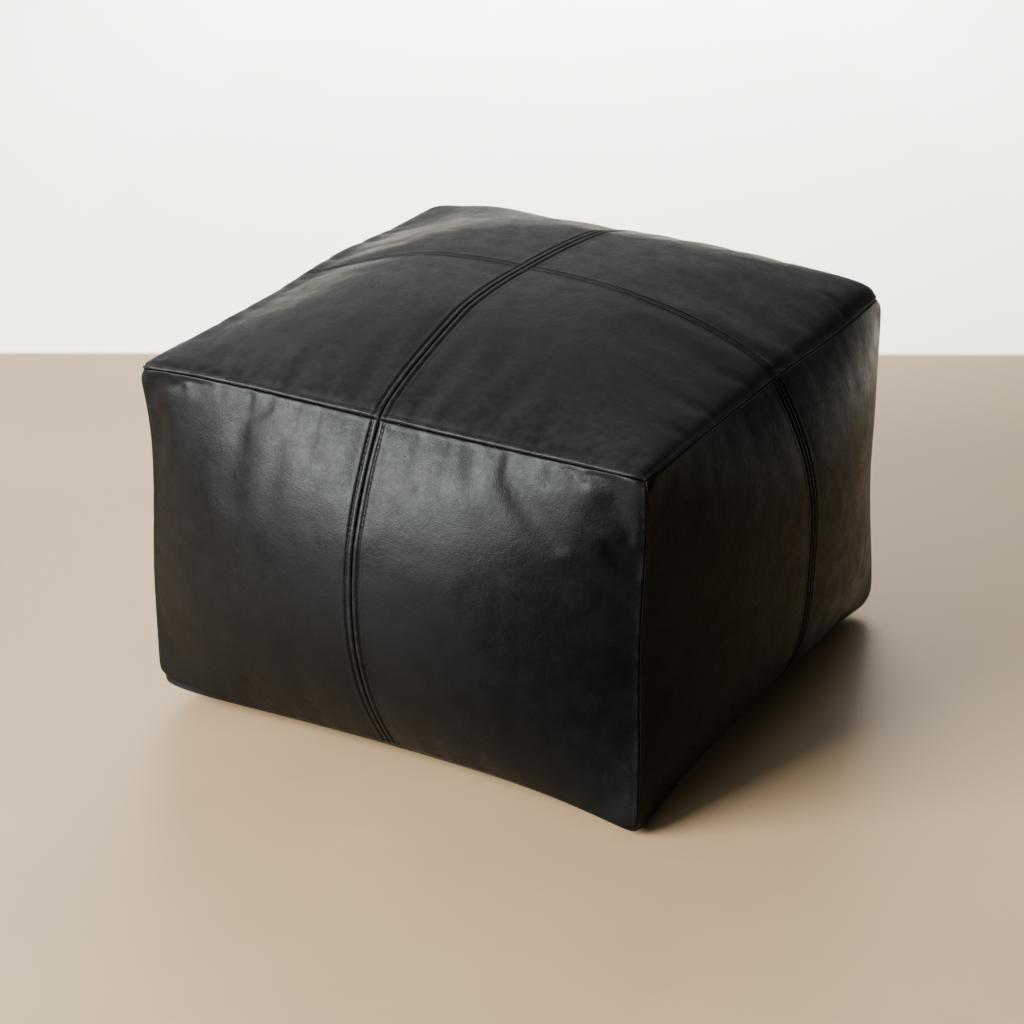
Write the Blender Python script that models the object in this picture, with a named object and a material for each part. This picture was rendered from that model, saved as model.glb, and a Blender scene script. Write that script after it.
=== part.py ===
"""Square leather pouf: a cover sewn from leather panels with opened, topstitched centre seams,
a cotton bag of filling inside it, and a zip across the underside.

Metres, +Z up. The origin is on the floor, under the middle of the pouf. The front faces -Y.
"""

import bmesh
import bpy
from mathutils import Vector

# Overall sizes
SIDE = 0.500             # from seam to seam, across and front to back
CORNER_HEIGHT = 0.337    # from the floor to the top corners
CROWN = 0.063            # rise of the top above its edge seams
BELLY = 0.050            # swell of each side past its edge seams
CROWN_POWER = 3.2        # how flat the crown stays before it falls to its edges
BELLY_POWER = 2.5

# Underside
SEAM_LIFT = 0.012        # bottom edge seams above the floor
ROLL_LIFT = 0.002        # height of the underside where its edge begins to roll up
ROLL_INSET = 0.035       # from the side seams to there
FOOT_INSET = 0.085       # from the side seams to where it lies flat on the floor
CHANNEL_DEPTH = 0.0075   # the underside is drawn up this far along the zip
CHANNEL_HALF = 0.018     # half width of the channel at that depth
CHANNEL_FOOT = 0.042     # half width where it is back on the floor

# Sheet thicknesses and the gaps between them
LEATHER = 0.0016
SEAM_TAPE = 0.0008
SEAM_TAPE_WIDTH = 0.030
LINER = 0.0008
GAP = 0.0003             # between sheets that lie on each other
EDGE_GAP = 0.0004        # from a panel's edge to the line where two faces meet
SEAM_GAP = 0.0006        # between the two panels of a centre seam
FILL_GAP = 0.0006        # between the liner and the filling

# Zip
ZIP_END_MARGIN = 0.035   # from the side seams to the ends of the teeth
ZIP_TAPE = 0.0006
ZIP_TAPE_WIDTH = 0.0145
COIL_WIDTH = 0.0028
COIL_HEIGHT = 0.0022
COIL_GAP = 0.0004        # between the two rows of teeth
RUN = 0.0004             # running clearance round the slider
PLATE = 0.0010           # slider plates
FLANGE = 0.0009
SLIDER_LENGTH = 0.0120
SLIDER_TAPER = 0.0008    # how much narrower each side of the slider is at its tail
POST_LENGTH = 0.0036
POST_WIDTH = 0.0020
SLOT_CLEARANCE = 0.0010  # from the slider to the leather beside it
STOP_LENGTH = 0.0030
BAIL_BAR = 0.0009        # bar that the pull tab hangs on
BAIL_WIDTH = 0.0016
BAIL_LENGTH = 0.0070
BAIL_POST = 0.0012
TAB_THICKNESS = 0.0010
TAB_BAR = 0.0011         # end bar of the tab, inside the bail
TAB_PLAY = 0.00045       # above and below that bar
TAB_EYE = 0.0052         # from the pivot to the far end of the tab's eye
TAB_LENGTH = 0.0260
TAB_WIDTH = 0.0070
TAB_ARM_PLAY = 0.0006    # from the bail to each arm of the tab

# Worked out from the sizes above
HALF = SIDE / 2
EDGE = EDGE_GAP / HALF
SIDE_EDGE = 2 * EDGE_GAP / (CORNER_HEIGHT - SEAM_LIFT)
TAPE_DEPTH = LEATHER + GAP
LINER_DEPTH = TAPE_DEPTH + ZIP_TAPE + RUN + PLATE + RUN
FILL_DEPTH = LINER_DEPTH + LINER + FILL_GAP
MIDWAY = (CHANNEL_FOOT + HALF - FOOT_INSET) / 2
LINES = (0, CHANNEL_HALF, CHANNEL_FOOT, MIDWAY, HALF - FOOT_INSET, HALF - ROLL_INSET, HALF)
FLAT_STATIONS = [line / HALF for line in LINES]
HEIGHT_STATIONS = [0, 0.40, 0.70, 0.88, 1]

TAPE_Z = CHANNEL_DEPTH + TAPE_DEPTH
COIL_TOP = TAPE_Z - GAP
COIL_Z = COIL_TOP - COIL_HEIGHT
COIL_OUTER = COIL_GAP / 2 + COIL_WIDTH
PLATE_TOP = COIL_Z - RUN
PLATE_Z = PLATE_TOP - PLATE
INNER_PLATE_Z = TAPE_Z + ZIP_TAPE + RUN
SLIDER_HALF = COIL_OUTER + RUN + FLANGE
SLOT_HALF = SLIDER_HALF + SLOT_CLEARANCE
ZIP_HALF = HALF - ZIP_END_MARGIN
STOP_START = ZIP_HALF - STOP_LENGTH
SLIDER_END = STOP_START - RUN
SLIDER_START = SLIDER_END - SLIDER_LENGTH
COIL_END = SLIDER_END - POST_LENGTH - GAP
BAIL_X = (SLIDER_START + SLIDER_END) / 2
PIVOT_Z = PLATE_Z - TAB_PLAY - TAB_THICKNESS / 2
BAIL_TOP = PIVOT_Z - TAB_THICKNESS / 2 - TAB_PLAY


def material(name, colour, roughness, metallic=0.0):
    made = bpy.data.materials.new(name)
    made.use_nodes = True
    shader = made.node_tree.nodes["Principled BSDF"]
    shader.inputs["Base Color"].default_value = (*colour, 1)
    shader.inputs["Roughness"].default_value = roughness
    shader.inputs["Metallic"].default_value = metallic
    return made


def swell(share, power):
    return 1 - abs(share) ** power


def ramp(value, start, end):
    return min(max((value - start) / (end - start), 0), 1)


def underside(x, y):
    """Height of the cover's lowest face above the floor."""
    lifts = []
    for inset in (HALF - abs(x), HALF - abs(y)):
        lifts.append(ROLL_LIFT * ramp(-inset, -FOOT_INSET, -ROLL_INSET))
        lifts.append(ROLL_LIFT + (SEAM_LIFT - ROLL_LIFT) * ramp(-inset, -ROLL_INSET, 0) if inset < ROLL_INSET else 0)
    lifts.append(CHANNEL_DEPTH * (1 - ramp(abs(y), CHANNEL_HALF, CHANNEL_FOOT)))
    return max(lifts)


def cover_point(c, depth):
    """A point of the unit cube's surface, carried to the stuffed cover, this far under its outside."""
    half = HALF - depth
    low = SEAM_LIFT + depth
    high = CORNER_HEIGHT - depth
    if c.z >= 1:
        rise = CROWN * swell(c.x, CROWN_POWER) * swell(c.y, CROWN_POWER)
        return Vector((half * c.x, half * c.y, high + rise))
    if c.z <= -1:
        return Vector((half * c.x, half * c.y, depth + underside(HALF * c.x, HALF * c.y)))
    z = low + (high - low) * (c.z + 1) / 2
    if abs(c.y) >= 1:
        out = half + BELLY * swell(c.x, BELLY_POWER) * swell(c.z, BELLY_POWER)
        return Vector((half * c.x, out * c.y, z))
    out = half + BELLY * swell(c.y, BELLY_POWER) * swell(c.z, BELLY_POWER)
    return Vector((out * c.x, half * c.y, z))


def between(start, end, half_stations):
    """The two ends, and every station of the symmetric list that lies between them."""
    both = sorted({-s for s in half_stations} | set(half_stations))
    return [start] + [s for s in both if start + EDGE < s < end - EDGE] + [end]


# Each face of the cube: the directions across it, along it and out of it
FACES = {
    "top": ((1, 0, 0), (0, 1, 0), (0, 0, 1)),
    "bottom": ((1, 0, 0), (0, -1, 0), (0, 0, -1)),
    "front": ((1, 0, 0), (0, 0, 1), (0, -1, 0)),
    "right": ((0, 1, 0), (0, 0, 1), (1, 0, 0)),
    "back": ((-1, 0, 0), (0, 0, 1), (0, 1, 0)),
    "left": ((0, -1, 0), (0, 0, 1), (-1, 0, 0)),
}


def add_grid(bm, face, across, along):
    """A grid on one face of the unit cube, with its lines at the given stations."""
    over, up, out = [Vector(direction) for direction in FACES[face]]
    made = bmesh.ops.create_grid(bm, x_segments=len(across) - 1, y_segments=len(along) - 1, size=1)
    for vert in made["verts"]:
        i = round((vert.co.x + 1) / 2 * (len(across) - 1))
        j = round((vert.co.y + 1) / 2 * (len(along) - 1))
        vert.co = out + over * across[i] + up * along[j]


def finish(bm, name, look):
    bmesh.ops.recalc_face_normals(bm, faces=bm.faces[:])
    mesh = bpy.data.meshes.new(name)
    bm.to_mesh(mesh)
    bm.free()
    mesh.shade_smooth()
    mesh.set_sharp_from_angle(angle=0.6)
    made = bpy.data.objects.new(name, mesh)
    bpy.context.scene.collection.objects.link(made)
    mesh.materials.append(look)
    return made


def wrap(bm, outer, inner):
    """Gives the sheet on the cube a thickness, and carries it to the cover."""
    grown = bmesh.ops.extrude_face_region(bm, geom=bm.faces[:], use_keep_orig=True)
    deep = {item for item in grown["geom"] if isinstance(item, bmesh.types.BMVert)}
    for vert in bm.verts:
        vert.co = cover_point(vert.co, inner if vert in deep else outer)


def sheet(name, face, across, along, outer, inner, look):
    bm = bmesh.new()
    add_grid(bm, face, across, along)
    wrap(bm, outer, inner)
    return finish(bm, name, look)


def whole_box(bm):
    for face in FACES:
        along = FLAT_STATIONS if face in ("top", "bottom") else HEIGHT_STATIONS
        add_grid(bm, face, between(-1, 1, FLAT_STATIONS), between(-1, 1, along))
    bmesh.ops.remove_doubles(bm, verts=bm.verts[:], dist=1e-6)


def prism(name, outline, low, high, look):
    """A flat outline in the XY plane, extruded upwards."""
    bm = bmesh.new()
    face = bm.faces.new([bm.verts.new((x, y, low)) for x, y in outline])
    grown = bmesh.ops.extrude_face_region(bm, geom=[face], use_keep_orig=True)
    top = [item for item in grown["geom"] if isinstance(item, bmesh.types.BMVert)]
    bmesh.ops.translate(bm, verts=top, vec=(0, 0, high - low))
    return finish(bm, name, look)


def rectangle(x0, x1, y0, y1):
    return [(x0, y0), (x1, y0), (x1, y1), (x0, y1)]


def combine(main, tool, operation):
    """Joins a helper solid to the main one, or cuts it out, and puts the helper away."""
    step = main.modifiers.new(tool.name, "BOOLEAN")
    step.operation = operation
    step.object = tool
    tool.hide_render = True
    tool.display_type = "WIRE"


def cover_panels(leather):
    """Four quarter panels on top, two half panels on each side, and two on the underside."""
    seam = SEAM_GAP / 2 / HALF
    low_half = between(-1 + EDGE, -seam, FLAT_STATIONS)
    high_half = between(seam, 1 - EDGE, FLAT_STATIONS)
    full_height = between(-1 + SIDE_EDGE, 1 - SIDE_EDGE, HEIGHT_STATIONS)
    for depth_name, along in (("front", low_half), ("back", high_half)):
        for side_name, across in (("left", low_half), ("right", high_half)):
            sheet(f"top_panel_{depth_name}_{side_name}", "top", across, along, 0, LEATHER, leather)
    halves = {
        "front": ("left", "right"),
        "right": ("front", "back"),
        "back": ("right", "left"),
        "left": ("back", "front"),
    }
    for face, (first, second) in halves.items():
        sheet(f"{face}_panel_{first}", face, low_half, full_height, 0, LEATHER, leather)
        sheet(f"{face}_panel_{second}", face, high_half, full_height, 0, LEATHER, leather)
    # the underside's grid is turned over about X, so its +Y is the pouf's front
    across = between(-1 + EDGE, 1 - EDGE, FLAT_STATIONS)
    slot = SLOT_HALF / HALF
    sheet("bottom_panel_front", "bottom", across, between(slot, 1 - EDGE, FLAT_STATIONS), 0, LEATHER, leather)
    sheet("bottom_panel_back", "bottom", across, between(-1 + EDGE, -slot, FLAT_STATIONS), 0, LEATHER, leather)


def seam_tapes(cotton):
    """Cotton tape behind each opened centre seam."""
    wide = SEAM_TAPE_WIDTH / SIDE
    across = between(-wide, wide, FLAT_STATIONS)
    inner = TAPE_DEPTH + SEAM_TAPE
    reach = 1 - 2 * EDGE
    past = wide + 2 * EDGE
    sheet("top_seam_tape", "top", across, between(-reach, reach, FLAT_STATIONS), TAPE_DEPTH, inner, cotton)
    sheet("top_seam_tape_left", "top", between(-reach, -past, FLAT_STATIONS), across, TAPE_DEPTH, inner, cotton)
    sheet("top_seam_tape_right", "top", between(past, reach, FLAT_STATIONS), across, TAPE_DEPTH, inner, cotton)
    reach = 1 - 2 * SIDE_EDGE
    along = between(-reach, reach, HEIGHT_STATIONS)
    for face in ("front", "right", "back", "left"):
        sheet(f"{face}_seam_tape", face, across, along, TAPE_DEPTH, inner, cotton)


def inner_bag_and_filling(cotton, wadding):
    bm = bmesh.new()
    whole_box(bm)
    mouth = [
        f
        for f in bm.faces
        if (middle := f.calc_center_median()).z < -0.999
        and abs(middle.x) < MIDWAY / HALF
        and abs(middle.y) < CHANNEL_HALF / HALF
    ]
    bmesh.ops.delete(bm, geom=mouth, context="FACES")
    wrap(bm, LINER_DEPTH, LINER_DEPTH + LINER)
    finish(bm, "inner_bag", cotton)
    bm = bmesh.new()
    whole_box(bm)
    for vert in bm.verts:
        vert.co = cover_point(vert.co, FILL_DEPTH)
    finish(bm, "filling", wadding)


def zip_tapes_and_teeth(tape, teeth, steel):
    across = between(-1 + 2 * EDGE, 1 - 2 * EDGE, FLAT_STATIONS)
    near = (POST_WIDTH / 2 + RUN) / HALF
    far = near + ZIP_TAPE_WIDTH / HALF
    for name, sign, along in (("front", -1, [near, far]), ("back", 1, [-far, -near])):
        sheet(f"zip_tape_{name}", "bottom", across, along, TAPE_DEPTH, TAPE_DEPTH + ZIP_TAPE, tape)
        rows = sorted((sign * COIL_GAP / 2, sign * COIL_OUTER))
        coil = prism(f"zip_coil_{name}", rectangle(-ZIP_HALF, COIL_END, *rows), COIL_Z, COIL_TOP, teeth)
        round_over = coil.modifiers.new("Rounded", "BEVEL")
        round_over.width = COIL_HEIGHT / 4
        round_over.segments = 1
        stop = prism(f"zip_top_stop_{name}", rectangle(STOP_START, ZIP_HALF, *rows), COIL_Z, COIL_TOP, steel)
        round_over = stop.modifiers.new("Rounded", "BEVEL")
        round_over.width = COIL_HEIGHT / 5
        round_over.segments = 1
    end = -ZIP_HALF - GAP
    prism("zip_bottom_stop", rectangle(end - STOP_LENGTH, end, -COIL_OUTER, COIL_OUTER), COIL_Z, COIL_TOP, steel)


def slider_outline(half_width, x0, x1):
    """Wide at the mouth (+X), narrower at the tail, with its corners cut."""
    cut = FLANGE
    return [
        (x0, -half_width + SLIDER_TAPER),
        (x1 - cut, -half_width),
        (x1, -half_width + cut),
        (x1, half_width - cut),
        (x1 - cut, half_width),
        (x0, half_width - SLIDER_TAPER),
    ]


def zip_slider(steel):
    """Two plates on a post, flanges that hold the teeth, and the bail under the lower plate."""
    outline = slider_outline(SLIDER_HALF, SLIDER_START, SLIDER_END)
    slider = prism("zip_slider", outline, PLATE_Z, PLATE_TOP, steel)
    bite = PLATE / 2
    tools = [prism("slider_inner_plate", outline, INNER_PLATE_Z, INNER_PLATE_Z + PLATE, steel)]
    post = rectangle(SLIDER_END - POST_LENGTH, SLIDER_END - GAP, -POST_WIDTH / 2, POST_WIDTH / 2)
    tools.append(prism("slider_post", post, PLATE_TOP - bite, INNER_PLATE_Z + bite, steel))
    flange_top = TAPE_Z - RUN
    for side in (-1, 1):
        rows = sorted((side * (COIL_OUTER + RUN), side * SLIDER_HALF))
        reach = rectangle(SLIDER_START + BAIL_POST, SLIDER_END - FLANGE, *rows)
        tools.append(prism(f"slider_flange_{side}", reach, PLATE_TOP - bite, flange_top, steel))
    bail_half = BAIL_WIDTH / 2
    bail = rectangle(BAIL_X - BAIL_LENGTH / 2, BAIL_X + BAIL_LENGTH / 2, -bail_half, bail_half)
    tools.append(prism("slider_bail_bar", bail, BAIL_TOP - BAIL_BAR, BAIL_TOP, steel))
    for side in (-1, 1):
        ends = sorted((BAIL_X + side * BAIL_LENGTH / 2, BAIL_X + side * (BAIL_LENGTH / 2 - BAIL_POST)))
        foot = rectangle(*ends, -bail_half, bail_half)
        tools.append(prism(f"slider_bail_post_{side}", foot, BAIL_TOP - BAIL_BAR / 2, PLATE_Z + bite, steel))
    for tool in tools:
        combine(slider, tool, "UNION")
    return slider


def zip_pull_tab(steel):
    """A flat tab with an eye: its end bar lies in the slider's bail, and the tab lies towards -X."""
    low = -TAB_THICKNESS / 2
    half = TAB_WIDTH / 2
    cut = TAB_WIDTH / 4
    outline = [
        (TAB_BAR / 2, -half),
        (TAB_BAR / 2, half),
        (-TAB_LENGTH + cut, half),
        (-TAB_LENGTH, half - cut),
        (-TAB_LENGTH, -half + cut),
        (-TAB_LENGTH + cut, -half),
    ]
    tab = prism("zip_pull_tab", outline, low, -low, steel)
    eye_half = BAIL_WIDTH / 2 + TAB_ARM_PLAY
    eye = prism("tab_eye", rectangle(-TAB_EYE, -TAB_BAR / 2, -eye_half, eye_half), 2 * low, -2 * low, steel)
    eye.parent = tab
    combine(tab, eye, "DIFFERENCE")
    tab.location = (BAIL_X, 0, PIVOT_Z)
    return tab


def build():
    for old in list(bpy.data.objects):
        bpy.data.objects.remove(old, do_unlink=True)
    leather = material("black_leather", (0.018, 0.018, 0.017), 0.42)
    cotton = material("natural_cotton", (0.62, 0.57, 0.47), 0.9)
    wadding = material("cotton_wadding", (0.74, 0.71, 0.64), 0.95)
    webbing = material("black_zip_tape", (0.015, 0.015, 0.015), 0.85)
    nylon = material("black_nylon_teeth", (0.02, 0.02, 0.02), 0.4)
    steel = material("blackened_steel", (0.06, 0.06, 0.06), 0.35, 1.0)
    cover_panels(leather)
    seam_tapes(cotton)
    inner_bag_and_filling(cotton, wadding)
    zip_tapes_and_teeth(webbing, nylon, steel)
    zip_slider(steel)
    zip_pull_tab(steel)


build()
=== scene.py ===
import math

import bpy
import numpy as np
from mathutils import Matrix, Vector


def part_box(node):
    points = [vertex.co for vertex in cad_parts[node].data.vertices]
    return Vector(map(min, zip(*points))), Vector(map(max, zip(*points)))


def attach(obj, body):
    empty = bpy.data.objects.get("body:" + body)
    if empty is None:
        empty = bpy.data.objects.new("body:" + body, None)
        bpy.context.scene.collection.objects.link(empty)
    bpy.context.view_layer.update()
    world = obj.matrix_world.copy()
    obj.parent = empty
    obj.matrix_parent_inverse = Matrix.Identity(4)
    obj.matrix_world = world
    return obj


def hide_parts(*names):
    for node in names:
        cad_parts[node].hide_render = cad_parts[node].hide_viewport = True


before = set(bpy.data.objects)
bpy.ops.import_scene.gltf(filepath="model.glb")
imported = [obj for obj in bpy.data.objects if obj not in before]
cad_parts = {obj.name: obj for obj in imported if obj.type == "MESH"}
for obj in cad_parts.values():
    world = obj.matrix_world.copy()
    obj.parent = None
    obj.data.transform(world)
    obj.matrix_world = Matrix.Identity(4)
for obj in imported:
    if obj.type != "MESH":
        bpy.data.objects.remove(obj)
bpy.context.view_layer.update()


# camera: a long lens from the front right, a little above

cameraSettings = {
    "lens": 96.3,
    "azimuth": 29.2,
    "elevation": 24.4,
    "distance": 2.60,
    "aimHeight": 0.1667,
    "aimLeft": 0.0127,   # the pouf stands a little right of the frame's middle
    "aimDown": 0.0123,
}


def makeCamera(settings):
    turn, lift = math.radians(settings["azimuth"]), math.radians(settings["elevation"])
    back = Vector((math.sin(turn) * math.cos(lift), -math.cos(turn) * math.cos(lift), math.sin(lift)))
    right = Vector((math.cos(turn), math.sin(turn), 0))
    up = back.cross(right)
    place = Vector((0, 0, settings["aimHeight"])) + back * settings["distance"]
    aim = Vector((0, 0, settings["aimHeight"])) - right * settings["aimLeft"] - up * settings["aimDown"]
    bpy.ops.object.camera_add(location=place)
    camera = bpy.context.object
    camera.name = "camera"
    camera.data.lens = settings["lens"]
    camera.data.sensor_width = 36
    camera.data.dof.use_dof = False
    camera.rotation_euler = (aim - place).to_track_quat("-Z", "Y").to_euler()
    bpy.context.scene.camera = camera


makeCamera(cameraSettings)


# the stuffed form: where the cover lies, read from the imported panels

panelGap = 0.0004
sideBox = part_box("front_panel_right")
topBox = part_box("top_panel_front_right")

form = {
    "half": sideBox[1].x + panelGap,
    "seamLift": sideBox[0].z - panelGap,
    "cornerHeight": sideBox[1].z + panelGap,
    "crownTop": topBox[1].z,
    "belly": -sideBox[0].y - sideBox[1].x - panelGap,
    "crownPower": 2.4,      # how flat the crown stays
    "shoulder": 0.014,      # the top rises this far within a finger's width of its seams
    "shoulderWidth": 0.0065,
    "edgeRise": 0.003,      # the top edges climb a little between their corners
    "edgeBow": 0.003,       # and bow outwards
    "bottomRise": 0.011,    # the bottom edges lift off the floor between their corners
    "bottomTuck": 0.002,    # and tuck in
    "cornerPull": 0.0025,   # the upright edges are drawn in at mid height
    "cornerSoft": 0.0045,   # the top corners are drawn in towards the middle at their very tips
    # and stand out round them
    "cornerFull": {(-1, -1): 0.0055, (1, -1): 0.001, (1, 1): 0.0, (-1, 1): 0.002},
    "leftSag": 0.011,       # the top is slacker along its left side
    "sagReach": 0.22,
    "frontDrop": 0.0055,    # its shoulder is lower along the front
    "rightDrop": 0.0055,    # and along the right
    "dropReach": 0.09,
    "backFull": 0.0035,     # but fuller along the back,
    "backReach": 0.07,
    "backLeftFull": 1.4,    # most of all near its left end
    "cornerFlare": 0.0055,  # the upright edges spread towards the floor
    # how far each bottom corner stands above its seam line
    "cornerLift": {(-1, -1): 0.013, (1, -1): -0.008, (1, 1): -0.003, (-1, 1): 0.003},
    "footSoft": 0.0110,     # the bottom corners are drawn in this much at their very tips
    "uneven": 0.0014,       # slow waves all over, and their length
    "unevenLength": 0.24,
    "channelDepth": 0.0075,
    "channelHalf": 0.018,
    "channelFoot": 0.042,
    "rollInset": 0.035,
    "rollLift": 0.002,
    "footInset": 0.085,
    "cells": 68,
}

# each side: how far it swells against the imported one, and how full it is above and below its middle
sideFill = {
    "front": (1.07, 2.1, 2.1),
    "right": (0.93, 2.7, 3.9),
    "back": (1.00, 2.3, 2.8),
    "left": (0.98, 2.4, 2.9),
}

faceAxes = {
    "top": ((1, 0, 0), (0, 1, 0), (0, 0, 1)),
    "bottom": ((1, 0, 0), (0, -1, 0), (0, 0, -1)),
    "front": ((1, 0, 0), (0, 0, 1), (0, -1, 0)),
    "right": ((0, 1, 0), (0, 0, 1), (1, 0, 0)),
    "back": ((-1, 0, 0), (0, 0, 1), (0, 1, 0)),
    "left": ((0, -1, 0), (0, 0, 1), (-1, 0, 0)),
}


def swell(share, power):
    return 1 - np.abs(share) ** power


def near(value, middle, width):
    return np.exp(-(((value - middle) / width) ** 2))


def ramp(value, start, end):
    return np.clip((value - start) / (end - start), 0, 1)


def smoothRamp(value, start, end):
    t = ramp(value, start, end)
    return t * t * (3 - 2 * t)


def unit(vectors):
    return vectors / np.maximum(np.linalg.norm(vectors, axis=-1, keepdims=True), 1e-9)


def undersideHeight(x, y):
    lift = np.zeros_like(x)
    for place in (x, y):
        inset = form["half"] - np.abs(place)
        rolled = form["rollLift"] * (1 - smoothRamp(inset, form["rollInset"], form["footInset"]))
        outer = (form["seamLift"] - form["rollLift"]) * (1 - ramp(inset, 0, form["rollInset"])) ** 1.5
        lift = np.maximum(lift, rolled + outer)
    channel = form["channelDepth"] * (1 - smoothRamp(np.abs(y), form["channelHalf"], form["channelFoot"]))
    return np.maximum(lift, channel)


def formPoints(cube):
    # carries points of the unit cube's surface to the stuffed form
    x, y, z = cube.T
    half, low, high = form["half"], form["seamLift"], form["cornerHeight"]
    out = np.zeros_like(cube)
    alongX, alongY = swell(x, 2.2), swell(y, 2.2)
    top, bottom = z > 0.99999, z < -0.99999
    bow, tuck, pull, flare = form["edgeBow"], form["bottomTuck"], form["cornerPull"], form["cornerFlare"]
    both = alongX + alongY - alongX * alongY
    rolled = [1 - np.exp(-(1 - np.abs(place)) * half / form["shoulderWidth"]) for place in (x, y)]
    crown = form["shoulder"] * rolled[0] * rolled[1]
    broad = form["crownTop"] - high - form["edgeRise"] - form["shoulder"]
    crown += broad * swell(x, form["crownPower"]) * swell(y, form["crownPower"])
    crown -= form["leftSag"] * swell(y, 2) * near(x, -0.85, form["sagReach"]) * ramp(x, -1, -0.9)
    inner = rolled[0] * rolled[1]
    atFront = near((1 + y) * half, 0, form["dropReach"])
    atRight = near((1 - x) * half, 0, form["dropReach"]) * (1 - smoothRamp(y, 0.2, 0.8)) * (1 - atFront)
    atBack = near((1 - y) * half, 0, form["backReach"])
    fuller = (1 + form["backLeftFull"] * near(x, -0.66, 0.20)) * swell(x, 8)
    crown += inner * form["backFull"] * fuller * atBack
    crown -= inner * (form["frontDrop"] * atFront + form["rightDrop"] * atRight)
    raised = high + form["edgeRise"] * both + crown
    out[top] = np.stack([x * (half + bow * alongY), y * (half + bow * alongX), raised], 1)[top]
    edgeLift = form["bottomRise"] * np.maximum(
        alongX * ramp(np.abs(y), 0.80, 1) ** 2, alongY * ramp(np.abs(x), 0.91, 1) ** 2
    )
    under = undersideHeight(x * half, y * half) + edgeLift
    reachX = half - tuck * alongY + flare * (1 - alongY)
    reachY = half - tuck * alongX + flare * (1 - alongX)
    out[bottom] = np.stack([x * reachX, y * reachY, under], 1)[bottom]
    share = (z + 1) / 2
    spread = flare * (1 - share) ** 1.3 - pull * (1 - z * z)
    for name, (fullness, upper, lower) in sideFill.items():
        axis = np.array(faceAxes[name][2])
        across = np.array(faceAxes[name][0])
        here = (cube @ axis > 0.99999) & ~top & ~bottom
        u = cube @ across
        along = swell(u, 2.2)
        upright = np.where(z > 0, swell(z, upper), swell(z, lower))
        reach = half + spread * (1 - along) + along * (bow * share - tuck * (1 - share))
        reach = reach + form["belly"] * fullness * swell(u, 2.6) * upright
        floorEdge = low + form["bottomRise"] * along
        height = floorEdge + (high + form["edgeRise"] * along - floorEdge) * share
        place = np.outer(u * (half + spread), across) + reach[:, None] * axis + np.outer(height, [0, 0, 1])
        out[here] = place[here]
    cornered = np.abs(x * y * z) ** 22
    middle = np.array([0, 0, form["cornerHeight"] / 2])
    soft = np.where(z > 0, form["cornerSoft"], form["footSoft"]) * cornered
    out -= soft[:, None] * unit(out - middle) * np.array([1, 1, 0.3])
    for right, back in form["cornerLift"]:
        here = np.abs(x * y * z) ** 5 * (x * right > 0) * (y * back > 0)
        out[:, 2] += form["cornerLift"][right, back] * here * (z < 0)
        out += (form["cornerFull"][right, back] * here * (z > 0))[:, None] * np.array([right, back, 0])
    return out


def readPoints(mesh, what="co"):
    flat = np.zeros(len(mesh.vertices) * 3, np.float32)
    mesh.vertices.foreach_get(what, flat)
    return flat.reshape(-1, 3).astype(float)


def writePoints(mesh, points):
    mesh.vertices.foreach_set("co", np.asarray(points, np.float32).ravel())
    mesh.update()


def waves(points, seed, length, count=26):
    # smooth unevenness, the sum of waves of about this length in every direction
    rng = np.random.RandomState(seed)
    direction = rng.normal(size=(count, 3))
    direction /= np.linalg.norm(direction, axis=1)[:, None]
    pitch = 2 * math.pi / (length * rng.uniform(0.7, 1.5, count))
    phase = points @ (direction * pitch[:, None]).T + rng.uniform(0, 6.3, count)
    return np.cos(phase).sum(1) * math.sqrt(2 / count)


coverCloth = {
    "slack": 0.0085,       # the leather is cut this much larger than the form
    "topPuckers": 0.42,    # share of the puckers that is kept on the top,
    "highPuckers": 0.66,   # at the top of the sides,
    "lowPuckers": 0.22,    # and at their foot
    "sidePuckers": {"front": 1.0, "right": 0.18, "back": 0.7, "left": 0.8},
    "pressure": 5.0,
    "stiffness": 15,
    "bending": 6.5,
    "frames": 10,
    "bulgeKept": 0.25,     # share of the broad swelling that stays; the puckers all stay
    "bulgeWidth": 0.036,
    "cap": 0.010,
}


def makeForm():
    bpy.ops.object.select_all(action="DESELECT")
    bpy.ops.mesh.primitive_cube_add(size=2)
    shape = bpy.context.object
    shape.name = "stuffedForm"
    bpy.ops.object.mode_set(mode="EDIT")
    bpy.ops.mesh.select_all(action="SELECT")
    bpy.ops.mesh.subdivide(number_cuts=form["cells"] - 1)
    bpy.ops.object.mode_set(mode="OBJECT")
    cube = np.round(readPoints(shape.data), 5)
    points = formPoints(cube)
    resting = cube[:, 2:] < -0.999
    slow = np.stack([waves(points, 11 + k, form["unevenLength"]) for k in range(3)], 1)
    points += np.where(resting, 0, form["uneven"]) * slow
    writePoints(shape.data, points)
    bpy.ops.object.shade_smooth()
    return shape, cube, points


def onFace(cube, name):
    # the form's points on one side, and the column and row each stands in
    across, up, out = (np.array(axis) for axis in faceAxes[name])
    here = np.where(cube @ out > 0.99999)[0]
    cells = form["cells"]
    column = np.rint((cube[here] @ across + 1) / 2 * cells).astype(int)
    row = np.rint((cube[here] @ up + 1) / 2 * cells).astype(int)
    return here, column, row


def broadPart(shift, cube, width):
    # the slow part of the points' shift on each side, which is still at the seams
    cells = form["cells"]
    sigma = width / (2 * form["half"] / cells)
    steps = np.arange(cells + 1)
    weights = np.exp(-0.5 * ((steps[:, None] - steps[None, :]) / sigma) ** 2)
    weights /= sigma * math.sqrt(2 * math.pi)
    broad = np.zeros_like(shift)
    for name in ("top", *sideFill):
        here, column, row = onFace(cube, name)
        grid = np.zeros((cells + 1, cells + 1, 3))
        grid[column, row] = shift[here]
        grid = np.einsum("ai,bj,ijk->abk", weights, weights, grid, optimize=True)
        broad[here] = grid[column, row]
    return broad


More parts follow.
